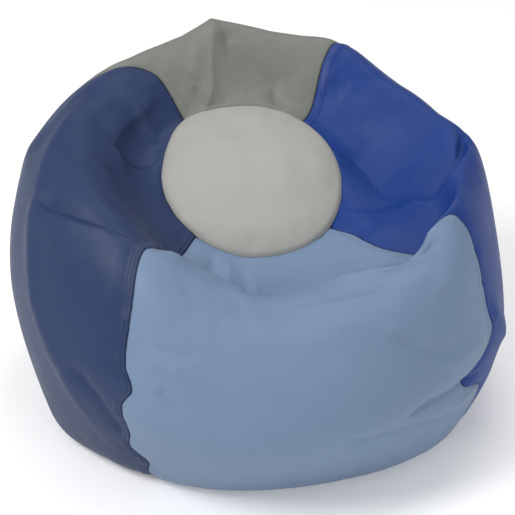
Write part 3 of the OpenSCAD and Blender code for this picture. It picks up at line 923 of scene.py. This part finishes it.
def seam_line(s, d, t):
    """Points and normals of a stitch row at distance d from the panel's second seam."""
    u, run = lengths_across(s, t)
    w = run[-1]
    uu = np.array([np.interp(w[j] - d, run[:, j], u) for j in range(len(t))])
    dd = np.full(len(t), float(d))
    top = run_down(s, 1, t)
    h = relief(s, uu, w - d, dd, run_down(s, 0, t), run_down(s, 1, t), top, w - d, t)
    n = cover.normal(s, uu, t)
    return cover.at(s, uu, t) + h[:, None] * n, n


for s in range(4):
    fine = np.linspace(0.03, RINGS - 0.05, 520)
    ob = sew("topstitching_" + NAMES[s], [seam_line(s, row, fine) for row in (ROW_ONE, ROW_TWO)], seed=3 + s)
    finish_piece(ob, THREAD[NAMES[s]], ["stitching_" + NAMES[s]])


# ---- cap

CAP_EDGE = [0.0, 0.12, 0.5, 1.1, 2, 3, 4.2, 5.6, 7.2, 9, 11, 13.2, 15.7, 18.5, 21.5]


def round_cap():
    n = 4 * COLS
    col = np.arange(0, n, 0.7)[:int(n / 0.7)]
    out = 3.5  # the rim stands this far over the side panels
    d = np.concatenate([CAP_EDGE, np.linspace(25, 111, 26)])[::-1]
    cc, dd = np.repeat(col[:, None], len(d), 1), np.repeat(d[None], len(col), 0)
    rim = cover.cap_at(col, np.ones(len(col)))
    spoke = unit(rim - cover.cap_mid)
    p = cover.cap_at(cc, np.clip(1 + (out - dd) / CAP_R, 0.02, 1))
    p = p + np.maximum(out - dd, 0)[..., None] * spoke[:, None]
    girth = lengths(rim)[:, None]
    ang = girth / (girth[-1, 0] + np.linalg.norm(rim[0] - rim[-1]))
    join_up = ease((ang - 0.92) / 0.08)

    def wave(swings, seed):
        first, again = waviness(ang * swings, seed, 2), waviness((ang - 1) * swings, seed, 2)
        return first * (1 - join_up) + again * join_up

    h = 5.0 * (1 - np.exp(-dd / 16)) - roll(dd, 6.5) + 1.5
    h += 1.1 * np.exp(-dd / 9) * wave(38, 7) * ease(dd / 2.5)
    h += 1.5 * np.exp(-dd / 24) * wave(15, 8) * ease(dd / 6)
    h += 2.2 * wave(5, 9) * np.exp(-((dd - 50) / 30) ** 2)
    h += 1.4 * wave(9, 12) * np.exp(-((dd - 30) / 16) ** 2)
    from_mid = p - cover.cap_mid
    for x, y, wide, long, lift in CAP_SLACK:
        h += lift * np.exp(-((from_mid[..., 0] - x) / wide) ** 2 - ((from_mid[..., 1] - y) / long) ** 2)
    for at, swing, depth in CAP_DIMPLES:
        k = np.radians((ang * 360 - at + 180) % 360 - 180) * (CAP_R - dd)
        h -= depth * np.exp(-(k / swing) ** 2 - ((dd - 14) / 15) ** 2)
    nrm = unit(np.cross(np.gradient(p, axis=1), np.roll(p, -1, 0) - np.roll(p, 1, 0)))
    upright = 1 - ease((dd - 4) / 30) + ease((dd - 85) / 20)
    nrm = unit(nrm + 6 * CAP_UP * upright[..., None])
    p = p + h[..., None] * nrm
    low = p[:, -1:] - 3.5 * CAP_UP - 0.8 * spoke[:, None]
    under = p[:, -1:] - 7 * CAP_UP - 4.5 * spoke[:, None]
    p = np.concatenate([p, low, under], 1)
    # painted shade: darkens the colour at the rim seam and fully on the turned-under edge
    seam = np.pad(0.8 * np.exp(-dd / 1.0), ((0, 0), (0, 2)), constant_values=1.0)
    rub = np.pad(0.5 * np.exp(-((dd - 12) / 8) ** 2), ((0, 0), (0, 2)))
    ob = sheet_object("round_cap", p, VINYL_WALL, {"seam": seam, "rubbed": rub}, [p[:, 0].mean(0)])
    return finish_piece(ob, VINYL["pale_grey"], ["top_cap"])


round_cap()


# ---- base

ZIP_LEN, ZIP_SINK, ZIP_SEWING = 300, 3.2, 9.5  # the sewing is measured from the zip's middle
ZIP_ENDS = ("front", -1), ("rear", 1)


def foot_outline():
    u = np.linspace(0, 1, 73)[:-1]
    pts = np.concatenate([cover.at(s, u, np.full(72, float(RINGS))) for s in range(4)])
    ang = np.degrees(np.arctan2(pts[:, 1], pts[:, 0])) % 360
    order = np.argsort(ang)
    return ang[order], np.hypot(pts[order, 0], pts[order, 1])


FOOT_A, FOOT_R = foot_outline()


def base_profile(y):
    """Height of the base's underside at distance y from the zip."""
    return ZIP_SINK * (1 - ease((y - 14) / 10))


def base_half(name, node, side):
    k = np.linspace(0, 1, 121)
    ang = 180 * (0.5 - 0.5 * np.cos(math.pi * k)) + (0 if side > 0 else 180)
    q = np.concatenate([[0.0], np.linspace(0.015, 0.95, 60), [0.965, 0.978, 0.988, 0.995, 1.0]])
    aa, qq = np.meshgrid(ang, q, indexing="ij")
    r = np.interp(aa, FOOT_A, FOOT_R, period=360) - 1.0
    x = r * qq * np.cos(np.radians(aa))
    y = np.abs(r * qq * np.sin(np.radians(aa)))
    gap = 0.4 + 5.6 * (1 - ease((np.abs(x) - ZIP_LEN / 2 - 1) / 5))
    y = gap + y * (1 - gap / 250)
    z = base_profile(y)
    d = r * (1 - qq)
    soft = 0.5 * (waviness(x / 41 + 11, 91) * waviness(y / 37, 92) + 1) * ease((y - 26) / 30) * ease(d / 12)
    z = z + 0.7 * soft + roll(d, 2.0) + 0.25 * ease((8 - (y - gap)) / 8)
    z += 0.35 * np.exp(-d / 9) * (1 + waviness(np.radians(aa) * r / 9, 93)) * ease(d / 1.5)
    p = np.stack([x, side * y, z], -1)
    p = np.concatenate([p, p[:, -1:] + [0, 0, 4.0]], 1)
    # painted shade: darkens the colour along the outer seam and fully on the raised edge row
    seam = np.pad(np.exp(-d / 2), ((0, 0), (0, 1)), constant_values=1.0)
    if side < 0:
        p, seam = p[::-1], seam[::-1]
    ob = sheet_object(name, p, marks={"seam": seam, "rubbed": 0 * seam + 0.25})
    face_down(ob)
    mod = ob.modifiers.new("Close the middle", "WELD")
    mod.merge_threshold = 0.001 * MM
    apply(ob, mod)
    give_wall(ob, BASE_WALL)
    return finish_piece(ob, VINYL["navy"], [node])


def zip_sewing(name, node, side):
    x = np.linspace(-ZIP_LEN / 2 - 8, ZIP_LEN / 2 + 8, 200)
    line = np.stack([x, 0 * x + side * ZIP_SEWING, 0 * x + ZIP_SINK - 0.15], -1)
    down = np.tile([0.0, 0, -1], (len(x), 1))
    ob = sew(name, [(line, down)], pitch=3.6, length=3.0, width=0.36, seed=31 + side)
    return finish_piece(ob, THREAD["navy"], [node])


for end, side in ZIP_ENDS:
    base_half("base_" + end + "_half", "base_" + end, side)
for end, side in ZIP_ENDS:
    zip_sewing("zip_sewing_" + end, "zip_stitching_" + end, side)


# ---- zip

TAPE_Z = ZIP_SINK + BASE_WALL + 0.1
COIL_R = 0.9
TOOTH_Y, TOOTH_PITCH, TOOTH_R, WIRE_R = 1.35, 1.55, 0.62, 0.26
COIL_Z = TAPE_Z - 0.1 - COIL_R


def settle_in_mesh(ob):
    """Puts the object's place, turn and size into its mesh."""
    select_only(ob)
    bpy.ops.object.transform_apply(location=True, rotation=True, scale=True)


def block(name, size, at, bevel, segments=3):
    select_only()
    bpy.ops.mesh.primitive_cube_add(size=1, location=[c * MM for c in at])
    ob = bpy.context.object
    ob.name = ob.data.name = name
    ob.scale = [c * MM for c in size]
    settle_in_mesh(ob)
    bpy.ops.object.mode_set(mode="EDIT")
    bpy.ops.mesh.select_all(action="SELECT")
    bpy.ops.mesh.bevel(offset=bevel * MM, segments=segments, profile=0.6)
    bpy.ops.object.mode_set(mode="OBJECT")
    bpy.ops.object.shade_smooth_by_angle(angle=math.radians(40))
    return ob


def join(name, parts):
    select_only(*parts)
    bpy.ops.object.join()
    ob = bpy.context.object
    ob.name = ob.data.name = name
    return ob


def zip_tape(name, node, side):
    x = np.linspace(-ZIP_LEN / 2 - 12, ZIP_LEN / 2 + 12, 160)
    y = np.array([1.4, 2.0, 3.0, 4.5, 6, 8, 10, 12, 13.2, 13.7, 14.0])
    xx, yy = np.meshgrid(x, y, indexing="ij")
    z = TAPE_Z + 0.02 + 0.12 * waviness(xx / 9, 51 + side) * ease((yy - 5) / 4) ** 2 * 0.6 + 0.1
    p = np.stack([xx, side * yy, z], -1)
    ob = sheet_object(name, p)
    face_down(ob)
    give_wall(ob, 0.5)
    return finish_piece(ob, TAPE, [node])


def zip_row(name, node, side):
    select_only()
    middle = side * TOOTH_Y * MM
    bpy.ops.mesh.primitive_torus_add(major_segments=10, minor_segments=5,
                                     major_radius=TOOTH_R * MM, minor_radius=WIRE_R * MM,
                                     location=(0, middle, COIL_Z * MM), rotation=(0, math.pi / 2, 0))
    tooth = bpy.context.object
    settle_in_mesh(tooth)
    co = np.empty(len(tooth.data.vertices) * 3, np.float32)
    tooth.data.vertices.foreach_get("co", co)
    co = co.reshape(-1, 3)
    co[:, 1] = middle + (co[:, 1] - middle) * 1.25
    polys = [tuple(p.vertices) for p in tooth.data.polygons]
    bpy.data.objects.remove(tooth)
    xs = np.arange(-ZIP_LEN / 2 + 0.8 + (0.4 if side > 0 else 0), ZIP_LEN / 2 - 0.7, TOOTH_PITCH) * MM
    verts = np.concatenate([co + [x, 0, 0] for x in xs])
    faces = [tuple(i + k * len(co) for i in f) for k in range(len(xs)) for f in polys]
    core = block(name + "_cord", (ZIP_LEN - 0.6, 0.5, 0.5), (0, side * 1.6, COIL_Z), 0.2, 2)
    ob = join(name, [mesh_object(name, verts, faces), core])
    return finish_piece(ob, COIL, [node])


for end, side in ZIP_ENDS:
    zip_tape("zip_tape_strip_" + end, "zip_tape_" + end, side)
for end, side in ZIP_ENDS:
    zip_row("zip_row_" + end, "zip_coil_" + end, side)

for name, node, x, y, w in (("stop_top_front", "zip_top_stop_front", ZIP_LEN / 2 + 1.5, -1.55, 2.2),
                            ("stop_top_rear", "zip_top_stop_rear", ZIP_LEN / 2 + 1.5, 1.55, 2.2),
                            ("stop_bottom", "zip_bottom_stop", -ZIP_LEN / 2 - 1.5, 0, 5.2)):
    ob = block(name, (2.3, w - 0.1, 2 * COIL_R), (x, y, COIL_Z), 0.35)
    finish_piece(ob, METAL, [node])


def zip_slider():
    lo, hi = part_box("zip_slider")
    mid = (np.array(lo) + np.array(hi)) / 2 / MM
    x, length, width, plate = mid[0], 11, 8.4, 0.9
    low, top = lo[2] / MM, hi[2] / MM
    parts = []
    for part, z in (("slider_face", low + plate / 2), ("slider_back", top - plate / 2)):
        parts += [block(part, (length, width * 0.8, plate), (x, 0, z), 0.28),
                  block(part + "_nose", (5, width, plate), (x + length / 2 - 2.6, 0, z), 0.4)]
    parts += [
        block("slider_neck", (3.0, 0.55, top - low - 1), (x + length / 2 - 2.9, 0, (low + top) / 2), 0.12),
        block("slider_ridge", (6, 1.6, 0.5), (x - 0.5, 0, low + 0.1), 0.2),
    ]
    ob = join("zip_runner", parts)
    ob.data.materials.clear()
    ob.data.materials.append(METAL)
    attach(ob, "slider")
    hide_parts("zip_slider")


zip_slider()


# ---- label, inner bag, beads

def label():
    a = np.linspace(0.30, 0.385, 26)
    t = np.linspace(5.9, 6.3, 22)
    uu, tt = np.meshgrid(a, t, indexing="ij")
    p, n = cover.at(0, uu, tt), cover.normal(0, uu, tt)
    lift = 1.0 + 0.9 * ease((6.15 - tt) / 0.25) * (1 + waviness(uu * 60, 61))
    ob = sheet_object("sewn_label", p + lift[..., None] * n, 0.35)
    return finish_piece(ob, LABEL, ["care_label"])


def inner_bag(name, node, depth, low, material, wall):
    """A closed skin at a depth below the cover, no lower than low."""
    cols, t = np.arange(4 * COLS), np.linspace(0, RINGS, 121)
    parts = []
    for s in range(4):
        u = np.arange(COLS) / COLS
        uu, tt = np.meshgrid(u, t, indexing="ij")
        creases = fold_height(across(s, uu, tt) % 360, tt, True)
        by_seams = 3.2 * np.exp(-uu * 40) + 3.2 * np.exp(-(1 - uu) * 40)
        below = depth + by_seams - np.minimum(creases, 0)
        parts.append(cover.at(s, uu, tt) - below[..., None] * cover.normal(s, uu, tt))
    side = np.concatenate(parts)
    side[:, 0] += -CAP_UP * depth * 0.6
    side[:, :4] -= CAP_UP * 3
    q = np.array([0.1, 0.3, 0.5, 0.7, 0.85, 0.94])
    cc, qq = np.meshgrid(cols.astype(float), q, indexing="ij")
    top = cover.cap_at(cc, qq) - depth * CAP_UP
    floor = side[:, -1:] * np.array([0.9, 0.6, 0.3])[None, :, None]
    p = np.concatenate([top, side, floor], 1)
    p[..., 2] = np.maximum(p[..., 2], low)
    ob = sheet_object(name, p, wall, ends=[cover.cap_mid - depth * CAP_UP, [0, 0, low]])
    return finish_piece(ob, material, [node])


label()
inner_bag("inner_bag", "liner_bag", 5.0, 7.2, LINER, 0.6)
inner_bag("bead_mass", "bead_fill", 7.0, 8.8, BEADS, 0)


# ---- floor, light, camera

def plain(name, colour, rough):
    m, nt, sh, where = new_material(name)
    shade = tuple(0.985 * c for c in colour)
    link(nt, mix_colour(nt, noise(nt, where, 3, 2), colour, shade), sh.inputs["Base Color"])
    sh.inputs["Roughness"].default_value = rough
    sh.inputs["Emission Color"].default_value = (1, 1, 1, 1)
    sh.inputs["Emission Strength"].default_value = 0.16
    return m


select_only()
bpy.ops.mesh.primitive_plane_add(size=16, location=(0, 0, -0.0004))
floor = bpy.context.object
floor.name = "floor"
floor.data.materials.append(plain("pale_floor", (0.90, 0.90, 0.90), 0.7))


def area_light(name, at, size, power, target=(0, 0, 0.2), colour=(1, 1, 1)):
    data = bpy.data.lights.new(name, "AREA")
    data.shape, data.size, data.energy, data.color = "DISK", size, power, colour
    ob = bpy.data.objects.new(name, data)
    ob.location = at
    d = np.array(at) - np.array(target)
    ob.rotation_euler = (math.atan2(math.hypot(d[0], d[1]), d[2]), 0, math.atan2(d[1], d[0]) + math.pi / 2)
    bpy.context.scene.collection.objects.link(ob)


area_light("window_left", (-1.7, -1.0, 2.3), 1.2, 50)
area_light("overhead", (0.4, 0.5, 2.8), 1.4, 18)
area_light("front_fill", (1.6, -2.4, 1.2), 1.4, 15)
world = bpy.data.worlds.new("studio")
bpy.context.scene.world = world
world.use_nodes = True
sky = world.node_tree.nodes["Background"]
sky.inputs["Color"].default_value = (1, 1, 1, 1)
sky.inputs["Strength"].default_value = 0.56

ELEVATION, DISTANCE, AIM, LENS = 32, 2.5, 0.215, 130.7  # degrees, metres, height of the frame's centre
cam_data = bpy.data.cameras.new("camera")
cam_data.lens, cam_data.sensor_width = LENS, 36
camera = bpy.data.objects.new("camera", cam_data)
e = math.radians(ELEVATION)
camera.location = (0, -DISTANCE * math.cos(e), AIM + DISTANCE * math.sin(e))
camera.rotation_euler = (math.pi / 2 - e, 0, 0)
bpy.context.scene.collection.objects.link(camera)
bpy.context.scene.camera = camera

bpy.context.scene.view_settings.view_transform = "Standard"
